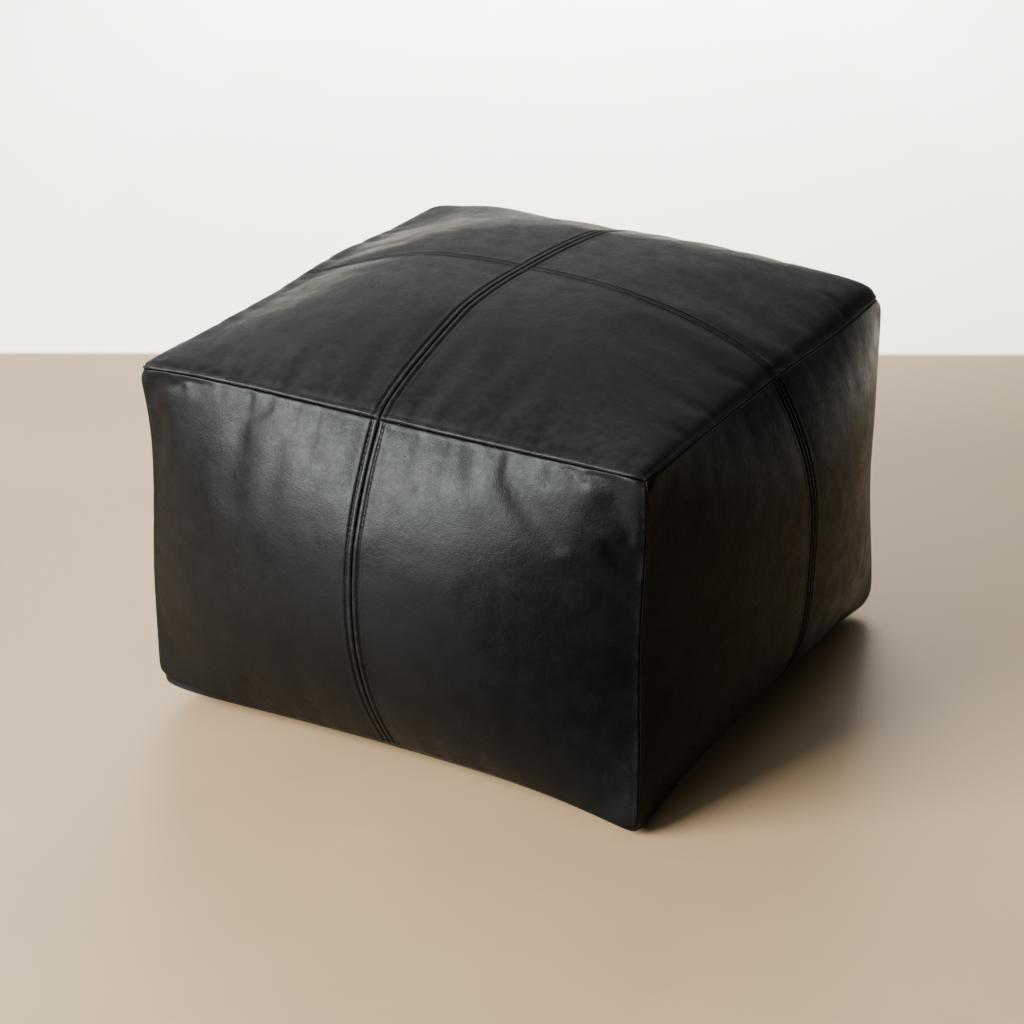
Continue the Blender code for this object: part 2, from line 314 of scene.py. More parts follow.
def blowUp(shape, cube, points, settings):
    # the seams hold the cover and the filling presses it out, which puckers it beside the seams
    held = ((np.abs(cube) > 0.99999).sum(1) >= 2) | (cube[:, 2] < -0.99999)
    pins = shape.vertex_groups.new(name="held")
    pins.add([int(i) for i in np.where(held)[0]], 1.0, "REPLACE")
    cloth = shape.modifiers.new("Cloth", "CLOTH")
    leather = cloth.settings
    leather.quality = 6
    leather.shrink_min = -settings["slack"]
    leather.tension_stiffness = settings["stiffness"]
    leather.compression_stiffness = settings["stiffness"]
    leather.shear_stiffness = settings["stiffness"] / 3
    leather.bending_stiffness = settings["bending"]
    leather.use_pressure = True
    leather.uniform_pressure_force = settings["pressure"]
    leather.vertex_group_mass = "held"
    leather.effector_weights.gravity = 0
    cloth.collision_settings.use_collision = False
    for step in range(1, settings["frames"] + 1):
        bpy.context.scene.frame_set(step)
    bpy.ops.object.modifier_apply(modifier=cloth.name)
    bpy.context.scene.frame_set(1)
    shift = readPoints(shape.data) - points
    shift -= (1 - settings["bulgeKept"]) * broadPart(shift, cube, settings["bulgeWidth"])
    height = smoothRamp(cube[:, 2], -0.6, 0.7)
    puckers = settings["lowPuckers"] + (settings["highPuckers"] - settings["lowPuckers"]) * height
    for name, share in settings["sidePuckers"].items():
        puckers[onFace(cube, name)[0]] *= share
    shift *= np.where(cube[:, 2] > 0.99999, settings["topPuckers"], puckers)[:, None]
    shift[held] = 0
    far = np.linalg.norm(shift, axis=1)
    shift *= (np.minimum(far, settings["cap"]) / np.maximum(far, 1e-9))[:, None]
    writePoints(shape.data, points + shift)
    moved = [round(float(v) * 1000, 1) for v in (far.mean(), far.max())]
    print("cover blown up, its points moved mm", moved[0], "at most", moved[1])


stuffedForm, cubePoints, plainPoints = makeForm()
blowUp(stuffedForm, cubePoints, plainPoints, coverCloth)


# the leather panels, read off the stuffed form and drawn in along their seams

seams = {
    # rows of points beside a seam, from the seam inwards
    "rows": (
        0, 0.0004, 0.0009, 0.0015, 0.0022, 0.0030, 0.0040, 0.0050, 0.0060, 0.0070, 0.0082, 0.0096, 0.0114
    ),
    "pitch": 0.0051,        # stitch length
    "stitchRow": 0.0060,    # from the seam to its topstitching
    "leather": 0.0016,
    "openDepth": 0.0017,
    "openRadius": 0.0013,
    "openRoll": 0.0009,
    "rollPlace": 0.0028,    # the middle of the roll, from the seam
    "rollWidth": 0.0020,
    "valley": 0.0007,       # what the topstitching pulls in,
    "holes": 0.0009,        # how much deeper at each needle hole,
    "valleyWidth": 0.0008,
    "beyond": 0.0004,       # and the rise beyond it
    "beyondPlace": 0.0086,
    "beyondWidth": 0.0019,
    "dip": 0.0009,          # the whole seam lies a little low
    "dipWidth": 0.019,
    "crossShare": 0.67,     # the seam across the top is narrower than the others
    "edgeDepth": 0.0020,
    "edgeRadius": 0.0016,
    "topRoll": 0.0015,
    "sideRoll": 0.0002,
    "edgePlace": 0.0026,
    "edgeWidth": 0.0018,
    "rightRoll": 0.3,       # share of the top's roll that its right edge has
    "wander": 0.35,         # how much the roll varies along an edge
    "clearFrom": -0.0030,   # where an open seam meets an edge, it fades over this distance
    "clearTo": 0.0032,
    "crossFill": 0.6,       # and fills the edge's groove
    "crossWidth": 0.0045,
    "underFrom": 0.0030,    # across the top, it passes under the long seam
    "underTo": 0.0090,
    "openWear": 0.7,        # how rubbed the leather is along its seams
    "topWear": 1.0,
    "sideWear": 0.4,
    "paintedFrontSheen": 0.45,      # and a painted sheen, lighter over the front of the top
    "openWearPlace": 0.0030,
    "openWearWidth": 0.0022,
    "edgeWearPlace": 0.0024,
    "edgeWearWidth": 0.0018,
    "paintedFrontSheenReach": 0.10,
    "pitDepth": 0.0035,     # the corners are pinched where three panels meet
    "pitWidth": 0.0070,
    "footPit": 0.2,         # but hardly at the floor
    "zipDepth": 0.0003,     # the folded edge beside the zip, and its row of stitching
    "zipRadius": 0.0008,
    "zipRow": 0.0040,
    "zipRowWidth": 0.0010,
    "slotHalf": 0.0053,
    "slotGap": 0.0002,
    "slotEnd": 0.2165,
    "slotClosed": 0.2235,
}

# each panel: its side, its spread across and up that side, and the seam on each border, from the one it is
# measured from: "open" is topstitched, "edge" joins two sides, "zip" is the folded edge beside the zip
panels = {
    "top_panel_front_left": ("top", (0, -1), (0, -1), ("open", "edge"), ("open", "edge")),
    "top_panel_front_right": ("top", (0, 1), (0, -1), ("open", "edge"), ("open", "edge")),
    "top_panel_back_left": ("top", (0, -1), (0, 1), ("open", "edge"), ("open", "edge")),
    "top_panel_back_right": ("top", (0, 1), (0, 1), ("open", "edge"), ("open", "edge")),
    "front_panel_left": ("front", (0, -1), (1, -1), ("open", "edge"), ("edge", "edge")),
    "front_panel_right": ("front", (0, 1), (1, -1), ("open", "edge"), ("edge", "edge")),
    "right_panel_front": ("right", (0, -1), (1, -1), ("open", "edge"), ("edge", "edge")),
    "right_panel_back": ("right", (0, 1), (1, -1), ("open", "edge"), ("edge", "edge")),
    "back_panel_right": ("back", (0, -1), (1, -1), ("open", "edge"), ("edge", "edge")),
    "back_panel_left": ("back", (0, 1), (1, -1), ("open", "edge"), ("edge", "edge")),
    "left_panel_back": ("left", (0, -1), (1, -1), ("open", "edge"), ("edge", "edge")),
    "left_panel_front": ("left", (0, 1), (1, -1), ("open", "edge"), ("edge", "edge")),
    "bottom_panel_front": ("bottom", (-1, 1), (0, 1), ("edge", "edge"), ("zip", "edge")),
    "bottom_panel_back": ("bottom", (-1, 1), (0, -1), ("edge", "edge"), ("zip", "edge")),
}


def faceGrids(mesh, cube):
    points, normals = readPoints(mesh), readPoints(mesh, "normal")
    cells = form["cells"]
    grids = {}
    for name in faceAxes:
        here, column, row = onFace(cube, name)
        place = np.zeros((cells + 1, cells + 1, 3))
        facing = np.zeros_like(place)
        place[column, row] = points[here]
        facing[column, row] = normals[here]
        grids[name] = (place, facing)
    return grids


def gridWeights(places):
    # how much each line of the form's grid counts at places given from -1 to 1, on smooth curves
    cells = form["cells"]
    spot = (np.clip(places, -1, 1) + 1) / 2 * cells
    line = np.minimum(spot.astype(int), cells - 1)
    t = spot - line
    weights = np.zeros((len(places), cells + 3))
    which = np.arange(len(places))
    cubic = (
        (2 * t ** 2 - t - t ** 3) / 2,
        (2 - 5 * t ** 2 + 3 * t ** 3) / 2,
        (t + 4 * t ** 2 - 3 * t ** 3) / 2,
        (t ** 3 - t ** 2) / 2,
    )
    for step, share in enumerate(cubic):
        weights[which, line + step] += share
    for end, inner in ((0, 1), (-1, -1)):  # beyond the edges the lines run on straight
        weights[:, end + inner] += 2 * weights[:, end]
        weights[:, end + 2 * inner] -= weights[:, end]
    return weights[:, 1:-1]


def readGrid(grid, across, up):
    return np.einsum("ai,bj,ijk->abk", gridWeights(across), gridWeights(up), grid, optimize=True)


def lineRun(line):
    return np.concatenate([[0], np.cumsum(np.linalg.norm(np.diff(line, axis=0), axis=1))])


def gridRun(grid, axis):
    # how far each point of a panel is from the panel's first border
    steps = np.cumsum(np.linalg.norm(np.diff(grid, axis=axis), axis=2), axis)
    return np.concatenate([np.zeros_like(steps.take([0], axis)), steps], axis)


def panelLines(grid, axis, spread, beside):
    # grid lines of a panel from one border to the other: close beside the seams, then half a stitch apart
    fine = np.linspace(spread[0], spread[1], 900)
    fixed = np.array([beside])
    line = readGrid(grid, fine, fixed)[:, 0] if axis == 0 else readGrid(grid, fixed, fine)[0]
    run = lineRun(line)
    rows = np.array(seams["rows"])
    half = seams["pitch"] / 2
    first = math.ceil((rows[-1] + 0.001) / half)
    last = math.floor((run[-1] - rows[-1] - 0.001) / half)
    wanted = np.concatenate([rows, np.arange(first, last + 1) * half, run[-1] - rows[::-1]])
    return np.interp(wanted, run, fine)


def quarterRound(distance, radius):
    inside = np.clip(1 - distance / radius, 0, 1)
    return 1 - np.sqrt(1 - inside ** 2)


def openSeam(distance, along):
    # turned under and topstitched: a roll beside the groove, then the valley that the stitches pull in
    holes = np.cos(math.pi * along / seams["pitch"]) ** 8
    shape = -seams["openDepth"] * quarterRound(distance, seams["openRadius"])
    shape += seams["openRoll"] * near(distance, seams["rollPlace"], seams["rollWidth"])
    valley = seams["valley"] + seams["holes"] * holes
    shape -= valley * near(distance, seams["stitchRow"], seams["valleyWidth"])
    shape += seams["beyond"] * near(distance, seams["beyondPlace"], seams["beyondWidth"])
    return shape - seams["dip"] * near(distance, 0, seams["dipWidth"])


def edgeSeam(distance, roll):
    shape = -seams["edgeDepth"] * quarterRound(distance, seams["edgeRadius"])
    return shape + roll * near(distance, seams["edgePlace"], seams["edgeWidth"])


def zipEdge(distance):
    shape = -seams["zipDepth"] * quarterRound(distance, seams["zipRadius"])
    return shape - seams["zipDepth"] * near(distance, seams["zipRow"], seams["zipRowWidth"])


def makePanel(name, grids):
    face, acrossSpread, upSpread, acrossSeams, upSeams = panels[name]
    place, facing = grids[face]
    across = panelLines(place, 0, acrossSpread, upSpread[0] * 0.999)
    up = panelLines(place, 1, upSpread, acrossSpread[0] * 0.999 if acrossSeams[0] == "open" else 0)
    base = readGrid(place, across, up)
    normal = unit(readGrid(facing, across, up))
    if face == "bottom":
        x, y = base[..., 0], base[..., 1]
        opened = 1 - smoothRamp(np.abs(x), seams["slotEnd"], seams["slotClosed"])
        slot = seams["slotHalf"] * opened + seams["slotGap"]
        base[..., 1] = y + np.sign(upSpread[1]) * -slot * (1 - np.abs(y) / form["half"])
    runAcross, runUp = (gridRun(base, axis) for axis in (0, 1))
    borders = (
        (acrossSeams[0], runAcross, runUp),
        (acrossSeams[1], runAcross[-1:] - runAcross, runUp),
        (upSeams[0], runUp, runAcross),
        (upSeams[1], runUp[:, -1:] - runUp, runAcross),
    )
    lift = np.zeros(base.shape[:2])
    wornAndSheen = np.zeros_like(lift)
    clear = np.ones_like(lift)
    crossed = np.ones_like(lift)
    for seam, distance, along in borders:
        if seam == "edge":
            clear *= smoothRamp(distance, seams["clearFrom"], seams["clearTo"])
        elif seam == "open":
            crossed *= 1 - seams["crossFill"] * near(distance, 0, seams["crossWidth"])
    for first, second in ((0, 2), (0, 3), (1, 2), (1, 3)):
        if borders[first][0] == "edge" and borders[second][0] == "edge":
            foot = face == "bottom" or (face != "top" and second == 3)
            pinch = seams["pitDepth"] * (seams["footPit"] if foot else 1)
            lift -= pinch * near(np.hypot(borders[first][1], borders[second][1]), 0, seams["pitWidth"])
    for number, (seam, distance, along) in enumerate(borders):
        if seam == "open":
            under, share = 1, 1
            if number == 2:
                under = smoothRamp(borders[0][1], seams["underFrom"], seams["underTo"])
                share = seams["crossShare"]
            lift += openSeam(distance / share, along) * share * clear * under
            rubbed = near(distance / share, seams["openWearPlace"], seams["openWearWidth"])
            wornAndSheen += seams["openWear"] * rubbed
        elif seam == "zip":
            lift += zipEdge(distance)
        else:
            onTop = face == "top"
            roll = seams["topRoll"] if onTop else seams["sideRoll"]
            if onTop and number == 1 and acrossSpread[1] > 0:
                roll *= seams["rightRoll"]
            wander = 1 + seams["wander"] * np.sin(along / 0.021 + 2.0 * np.sin(along / 0.037))
            lift += edgeSeam(distance, roll * wander) * crossed
            rubbed = near(distance, seams["edgeWearPlace"], seams["edgeWearWidth"])
            wornAndSheen += (seams["topWear"] if onTop else seams["sideWear"]) * rubbed
            # painted sheen: the top is lightened towards its front edge, fading over a tenth of a metre, in
            # place of reflected light
            if onTop and number == 3 and upSpread[1] < 0:
                wornAndSheen += seams["paintedFrontSheen"] * near(distance, 0, seams["paintedFrontSheenReach"])
    surface = base + normal * lift[..., None]
    bpy.ops.object.select_all(action="DESELECT")
    bpy.ops.mesh.primitive_grid_add(x_subdivisions=len(across) - 1, y_subdivisions=len(up) - 1, size=1)
    panel = bpy.context.object
    panel.name = name + "_leather"
    ordered = surface[::-1] if across[0] > across[-1] else surface
    ordered = ordered[:, ::-1] if up[0] > up[-1] else ordered
    wornAndSheenOrdered = wornAndSheen[::-1] if across[0] > across[-1] else wornAndSheen
    wornAndSheenOrdered = wornAndSheenOrdered[:, ::-1] if up[0] > up[-1] else wornAndSheenOrdered
    writePoints(panel.data, ordered.transpose(1, 0, 2).reshape(-1, 3))
    # per point: lighter where the seams are rubbed, plus a painted sheen over the front of the top
    wearAndSheen = panel.data.attributes.new("wearAndSheen", "FLOAT", "POINT")
    wearAndSheen.data.foreach_set("value", wornAndSheenOrdered.T.ravel().astype(np.float32))
    bpy.ops.object.shade_smooth()
    wall = panel.modifiers.new("wall", "SOLIDIFY")
    wall.thickness = seams["leather"]
    wall.offset = -1
    wall.use_even_offset = False
    bpy.ops.object.modifier_apply(modifier=wall.name)
    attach(panel, "pouf")
    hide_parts(name)
    rows = np.array(seams["rows"])
    wide = np.abs(rows - seams["stitchRow"]).argmin()
    narrow = np.abs(rows - seams["stitchRow"] * seams["crossShare"]).argmin()
    return panel, {"across": surface[wide], "up": surface[:, narrow]}


coverGrids = faceGrids(stuffedForm.data, cubePoints)
leatherPanels = {}
stitchLines = {}
for panelName in panels:
    leatherPanels[panelName], stitchLines[panelName] = makePanel(panelName, coverGrids)
leatherFaces = sum(len(panel.data.polygons) for panel in leatherPanels.values())
print("leather panels", len(leatherPanels), "triangles", 2 * leatherFaces)


# the topstitching: one stitch, repeated along each row and bent to it

thread = {
    "length": 0.0041,
    "thickness": 0.00085,
    "segments": 8,
    "rings": 6,
    "endGap": 0.003,    # a row stops this far before the end of its seam
}

# each seam's rows: their panel, the border they follow, and how many stitches they leave out at the start
topPanels = [name for name in panels if name.startswith("top_")]
topstitching = {
    "topstitch_top": [(name, "across", 0) for name in topPanels],
    "topstitch_top_left": [(name, "up", 2) for name in topPanels if name.endswith("left")],
    "topstitch_top_right": [(name, "up", 2) for name in topPanels if name.endswith("right")],
}
for side in sideFill:
    sidePanels = [name for name in panels if name.startswith(side + "_")]
    topstitching["topstitch_" + side] = [(name, "across", 1) for name in sidePanels]


def stitchRow(line, skipped):
    run = lineRun(line)[-1]
    path = bpy.data.curves.new("stitchPath", "CURVE")
    path.dimensions = "3D"
    spline = path.splines.new("POLY")
    spline.points.add(len(line) - 1)
    spline.points.foreach_set("co", np.hstack([line, np.ones((len(line), 1))]).astype(np.float32).ravel())
    guide = bpy.data.objects.new("stitchPath", path)
    bpy.context.collection.objects.link(guide)
    bpy.ops.object.select_all(action="DESELECT")
    bead = {"segments": thread["segments"], "ring_count": thread["rings"], "radius": thread["thickness"] / 2}
    bpy.ops.mesh.primitive_uv_sphere_add(**bead)
    row = bpy.context.object
    bpy.ops.object.mode_set(mode="EDIT")
    bpy.ops.mesh.select_all(action="SELECT")
    bpy.ops.transform.rotate(value=math.pi / 2, orient_axis="Y", center_override=(0, 0, 0))
    stretch = thread["length"] / thread["thickness"]
    bpy.ops.transform.resize(value=(stretch, 1, 1), center_override=(0, 0, 0))
    bpy.ops.transform.translate(value=((skipped + 0.5) * seams["pitch"], 0, 0))
    bpy.ops.object.mode_set(mode="OBJECT")
    repeat = row.modifiers.new("repeat", "ARRAY")
    repeat.use_relative_offset = False
    repeat.use_constant_offset = True
    repeat.constant_offset_displace = (seams["pitch"], 0, 0)
    repeat.count = int((run - thread["endGap"]) / seams["pitch"]) - skipped
    bend = row.modifiers.new("bend", "CURVE")
    bend.object = guide
    bend.deform_axis = "POS_X"
    for modifier in ("repeat", "bend"):
        bpy.ops.object.modifier_apply(modifier=modifier)
    bpy.ops.object.shade_smooth()
    bpy.data.objects.remove(guide)
    bpy.data.curves.remove(path)
    return row


def makeTopstitching(name, rows):
    made = [stitchRow(stitchLines[panel][border], skipped) for panel, border, skipped in rows]
    bpy.ops.object.select_all(action="DESELECT")
    for row in made:
        row.select_set(True)
    bpy.context.view_layer.objects.active = made[0]
    bpy.ops.object.join()
    made[0].name = name
    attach(made[0], "pouf")
    return made[0]


stitching = [makeTopstitching(name, rows) for name, rows in topstitching.items()]
print("topstitching", len(stitching), "faces", sum(len(s.data.polygons) for s in stitching))


# behind the leather: the tapes, the inner bag and its filling

inside = {
    "tapeDepth": 0.0038,
    "tapeHalf": 0.015,
    "tapeThickness": 0.0008,
    "tapeReach": 0.965,     # how near the tapes come to the edges of their side
    "bagDepth": 0.0062,
    "bagThickness": 0.0008,
    "mouthLength": 0.19,
    "mouthHalf": 0.004,
    "fillingDepth": 0.0078,
    "lump": 0.0012,
    "lumpSize": 0.045,
}


def makeSeamTape(name, face, across, up):
    place, facing = coverGrids[face]
    points = readGrid(place, across, up) - unit(readGrid(facing, across, up)) * inside["tapeDepth"]
    bpy.ops.object.select_all(action="DESELECT")
    bpy.ops.mesh.primitive_grid_add(x_subdivisions=len(across) - 1, y_subdivisions=len(up) - 1, size=1)
    tape = bpy.context.object
    tape.name = name + "_woven"
    writePoints(tape.data, points.transpose(1, 0, 2).reshape(-1, 3))
    bpy.ops.object.shade_smooth()
    wall = tape.modifiers.new("wall", "SOLIDIFY")
    wall.thickness = inside["tapeThickness"]
    wall.offset = -1
    bpy.ops.object.modifier_apply(modifier=wall.name)
    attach(tape, "pouf")
    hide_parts(name)
    return tape


tapeWidth = np.linspace(-1, 1, 9) * inside["tapeHalf"] / form["half"]
halfReach = np.linspace(1.15 * tapeWidth[-1], inside["tapeReach"], 44)  # clear of the long seam's tape
wholeReach = np.linspace(-inside["tapeReach"], inside["tapeReach"], 88)
seamTapes = [
    makeSeamTape("top_seam_tape", "top", tapeWidth, wholeReach),
    makeSeamTape("top_seam_tape_right", "top", halfReach, tapeWidth),
    makeSeamTape("top_seam_tape_left", "top", -halfReach[::-1], tapeWidth),
]
for side in sideFill:
    seamTapes.append(makeSeamTape(side + "_seam_tape", side, tapeWidth, wholeReach))


def shrunkForm(name, depth):
    bpy.ops.object.select_all(action="DESELECT")
    stuffedForm.select_set(True)
    bpy.context.view_layer.objects.active = stuffedForm
    bpy.ops.object.duplicate()
    copy = bpy.context.object
    copy.name = name
    writePoints(copy.data, readPoints(copy.data) - readPoints(copy.data, "normal") * depth)
    return copy


def makeInnerBag():
    bag = shrunkForm("inner_bag_cotton", inside["bagDepth"])
    middle = np.zeros(len(bag.data.polygons) * 3, np.float32)
    bag.data.polygons.foreach_get("center", middle)
    x, y, z = middle.reshape(-1, 3).T
    mouth = (np.abs(x) < inside["mouthLength"]) & (np.abs(y) < inside["mouthHalf"])
    mouth &= z < form["cornerHeight"] / 4
    bpy.ops.object.mode_set(mode="EDIT")
    bpy.ops.mesh.select_all(action="DESELECT")
    bpy.ops.mesh.select_mode(type="FACE")
    bpy.ops.object.mode_set(mode="OBJECT")
    bag.data.polygons.foreach_set("select", mouth)
    bpy.ops.object.mode_set(mode="EDIT")
    bpy.ops.mesh.delete(type="FACE")
    bpy.ops.object.mode_set(mode="OBJECT")
    wall = bag.modifiers.new("wall", "SOLIDIFY")
    wall.thickness = inside["bagThickness"]
    wall.offset = -1
    bpy.ops.object.modifier_apply(modifier=wall.name)
    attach(bag, "pouf")
    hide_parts("inner_bag")
    return bag


def makeFilling():
    filling = shrunkForm("filling_wadding", inside["fillingDepth"])
    points = readPoints(filling.data)
    lumps = np.abs(waves(points, 31, inside["lumpSize"])) * inside["lump"]
    writePoints(filling.data, points - readPoints(filling.data, "normal") * lumps[:, None])
    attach(filling, "pouf")
    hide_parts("filling")
    return filling


# the zip, over the slider's run: woven tapes and two rows of coil

zipper = {
    "tapeReach": 0.2235,
    "tapeCells": 90,
    "coilPitch": 0.00125,
    "coilWire": 0.00085,
    "coilBevel": 0.00028,
}


def makeZipTape(name):
    low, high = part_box(name)
    bpy.ops.object.select_all(action="DESELECT")
    bpy.ops.mesh.primitive_grid_add(x_subdivisions=zipper["tapeCells"], y_subdivisions=6, size=1)
    tape = bpy.context.object
    tape.name = name + "_woven"
    points = readPoints(tape.data)
    points[:, 0] *= 2 * zipper["tapeReach"]
    points[:, 1] = (low.y + high.y) / 2 + points[:, 1] * (high.y - low.y)
    points[:, 2] = low.z
    writePoints(tape.data, points)
    wall = tape.modifiers.new("wall", "SOLIDIFY")
    wall.thickness = high.z - low.z
    wall.offset = 1
    edge = tape.modifiers.new("edge", "BEVEL")
    edge.width = wall.thickness / 4
    edge.segments = 2
    for modifier in (wall.name, edge.name):
        bpy.ops.object.modifier_apply(modifier=modifier)
    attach(tape, "pouf")
    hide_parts(name)
    return tape


def makeCoil(name, shifted):
    # one turn of the coil, flattened, and repeated along the tape's edge
    low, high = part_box(name)
    start = low.x + zipper["coilPitch"] * (0.5 + 0.5 * shifted)
    bpy.ops.object.select_all(action="DESELECT")
    bpy.ops.mesh.primitive_cube_add(size=1, location=(0, 0, 0))
    coil = bpy.context.object
    coil.name = name + "_turns"
    bpy.ops.object.mode_set(mode="EDIT")
    bpy.ops.mesh.select_all(action="SELECT")
    size = (zipper["coilWire"], high.y - low.y, high.z - low.z)
    bpy.ops.transform.resize(value=size, center_override=(0, 0, 0))
    bpy.ops.transform.translate(value=(start, (low.y + high.y) / 2, (low.z + high.z) / 2))
    bpy.ops.mesh.bevel(offset=zipper["coilBevel"], segments=1)
    bpy.ops.object.mode_set(mode="OBJECT")
    repeat = coil.modifiers.new("repeat", "ARRAY")
    repeat.use_relative_offset = False
    repeat.use_constant_offset = True
    repeat.constant_offset_displace = (zipper["coilPitch"], 0, 0)
    repeat.count = int((high.x - start) / zipper["coilPitch"])
    bpy.ops.object.modifier_apply(modifier=repeat.name)
    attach(coil, "pouf")
    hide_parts(name)
    return coil


zipTapes = [makeZipTape(name) for name in ("zip_tape_front", "zip_tape_back")]
zipCoils = [makeCoil("zip_coil_front", 0), makeCoil("zip_coil_back", 1)]
innerBag = makeInnerBag()
filling = makeFilling()
bpy.data.objects.remove(stuffedForm)
print("inside made")


# finishes

def newFinish(name, settings):
    finish = bpy.data.materials.new(name)
    finish.use_nodes = True
    surface = finish.node_tree.nodes["Principled BSDF"]
    for socket, value in settings.items():
        surface.inputs[socket].default_value = value
    return finish, finish.node_tree, surface


def addNode(tree, kind, **settings):
    node = tree.nodes.new("ShaderNode" + kind)
    for key, value in settings.items():
        if hasattr(node, key):
            setattr(node, key, value)
        else:
            node.inputs[key.replace("_", " ")].default_value = value
    return node


def noise(tree, place, scale, detail=3.0, roughness=0.5):
    node = addNode(tree, "TexNoise", Scale=scale, Detail=detail, Roughness=roughness)
    tree.links.new(place, node.inputs["Vector"])
    return node.outputs["Fac"]


def spread(tree, value, low, high, toLow, toHigh):
    node = addNode(tree, "MapRange", From_Min=low, From_Max=high, To_Min=toLow, To_Max=toHigh)
    tree.links.new(value, node.inputs["Value"])
    return node.outputs["Result"]


def combine(tree, operation, first, second):
    node = tree.nodes.new("ShaderNodeMath")
    node.operation = operation
    for number, value in enumerate((first, second)):
        if isinstance(value, (int, float)):
            node.inputs[number].default_value = value
        else:
            tree.links.new(value, node.inputs[number])
    return node.outputs[0]


def paint(tree, surface, colour, normal):
    tree.links.new(colour, surface.inputs["Base Color"])
    tree.links.new(normal, surface.inputs["Normal"])


def blendColours(tree, share, first, second):
    node = tree.nodes.new("ShaderNodeMix")
    node.data_type = "RGBA"
    tree.links.new(share, node.inputs["Factor"])
    for socket, colour in zip([i for i in node.inputs if i.type == "RGBA"], (first, second)):
        if isinstance(colour, tuple):
            socket.default_value = (*colour, 1)
        else:
            tree.links.new(colour, socket)
    return next(o for o in node.outputs if o.type == "RGBA")


def addBump(tree, height, strength, distance, under=None):
    node = addNode(tree, "Bump", Strength=strength, Distance=distance)
    tree.links.new(height, node.inputs["Height"])
    if under:
        tree.links.new(under, node.inputs["Normal"])
    return node.outputs["Normal"]


blackLeather = {
    "deep": (0.0004, 0.0004, 0.0005),
    "pale": (0.0013, 0.0013, 0.0014),
    # the lighter colour of rubbed leather, also laid over the front of the top as a painted sheen
    "rubbed": (0.0075, 0.0074, 0.0070),
    "roughness": (0.34, 0.50),
    "specular": 0.08,
    "tint": (0.83, 0.92, 1.0, 1),
    "clouds": 11,           # how fine each unevenness is
    "patches": 48,
    "scuffs": 130,
    "pebble": 950,          # grain cells to the metre
    "crease": 260,
    "softDents": 34,
    "drift": 170,
    "driftReach": 0.0022,   # how far the grain is pulled out of true
    "dentBump": (0.35, 0.0020),     # strength and depth
    "creaseBump": (0.30, 0.0007),
    "pebbleBump": (0.32, 0.00022),
}


def mixed(tree, first, second):
    first = combine(tree, "MULTIPLY", first, 0.6)
    return combine(tree, "ADD", first, combine(tree, "MULTIPLY", second, 0.4))


def leatherFinish(settings):
    shine = {"Specular IOR Level": settings["specular"], "Specular Tint": settings["tint"]}
    finish, tree, surface = newFinish("black_leather", shine)
    place = addNode(tree, "TexCoord").outputs["Object"]
    clouds = noise(tree, place, settings["clouds"], 4, 0.55)
    patches = noise(tree, place, settings["patches"], 5, 0.6)
    tone = spread(tree, mixed(tree, clouds, patches), 0.38, 0.62, 0.0, 1.0)
    colour = blendColours(tree, tone, settings["deep"], settings["pale"])
    # lighter where rubbed along the seams, and a painted sheen over the front of the top
    wearAndSheen = addNode(tree, "Attribute", attribute_name="wearAndSheen").outputs["Fac"]
    scuffs = spread(tree, noise(tree, place, settings["scuffs"], 4), 0.38, 0.62, 0.1, 1.0)
    scuffAndSheen = combine(tree, "MULTIPLY", wearAndSheen, scuffs)
    colour = blendColours(tree, combine(tree, "MULTIPLY", scuffAndSheen, 0.75), colour, settings["rubbed"])
    cells = addNode(tree, "TexVoronoi", feature="F1", Scale=settings["pebble"], Randomness=1.0)
    warp = addNode(tree, "VectorMath", operation="ADD")
    drift = addNode(tree, "TexNoise", Scale=settings["drift"], Detail=2.0)
    tree.links.new(place, drift.inputs["Vector"])
    small = addNode(tree, "VectorMath", operation="SCALE")
    small.inputs["Scale"].default_value = settings["driftReach"]
    tree.links.new(drift.outputs["Color"], small.inputs[0])
    tree.links.new(place, warp.inputs[0])
    tree.links.new(small.outputs[0], warp.inputs[1])
    tree.links.new(warp.outputs[0], cells.inputs["Vector"])
    pebble = spread(tree, cells.outputs["Distance"], 0.1, 0.75, 1.0, 0.0)
    crease = noise(tree, warp.outputs[0], settings["crease"], 4, 0.65)
    gloss = spread(tree, mixed(tree, patches, crease), 0.36, 0.64, *settings["roughness"])
    tree.links.new(gloss, surface.inputs["Roughness"])
    soft = addBump(tree, noise(tree, place, settings["softDents"], 3), *settings["dentBump"])
    soft = addBump(tree, crease, *settings["creaseBump"], soft)
    paint(tree, surface, colour, addBump(tree, pebble, *settings["pebbleBump"], soft))
    return finish


def wovenFinish(name, colours, threads, roughness):
    # plain weave, threads to the metre both ways, on the object's own place
    cloth = {"Roughness": roughness, "Sheen Weight": 0.25, "Sheen Roughness": 0.5}
    finish, tree, surface = newFinish(name, cloth)
    place = addNode(tree, "TexCoord").outputs["Object"]
    waveSettings = {"wave_type": "BANDS", "wave_profile": "SIN", "Distortion": 0.6}
    ways = []
    for direction in ("X", "Y", "Z"):
        wave = addNode(tree, "TexWave", bands_direction=direction, Scale=threads / 3.2, **waveSettings)
        tree.links.new(place, wave.inputs["Vector"])
        ways.append(wave.outputs["Fac"])
    weave = combine(tree, "MAXIMUM", combine(tree, "MULTIPLY", ways[0], ways[1]), ways[2])
    slubs = noise(tree, place, 90, 4)
    share = combine(tree, "MULTIPLY", weave, spread(tree, slubs, 0.3, 0.7, 0.4, 1.0))
    paint(tree, surface, blendColours(tree, share, *colours), addBump(tree, weave, 0.4, 0.0003))
    return finish


def waddingFinish():
    finish, tree, surface = newFinish("wadding", {"Roughness": 0.95, "Sheen Weight": 0.4})
    place = addNode(tree, "TexCoord").outputs["Object"]
    tufts = noise(tree, place, 120, 8, 0.7)
    colour = blendColours(tree, tufts, (0.60, 0.57, 0.50), (0.84, 0.82, 0.76))
    paint(tree, surface, colour, addBump(tree, tufts, 0.8, 0.003))
    return finish


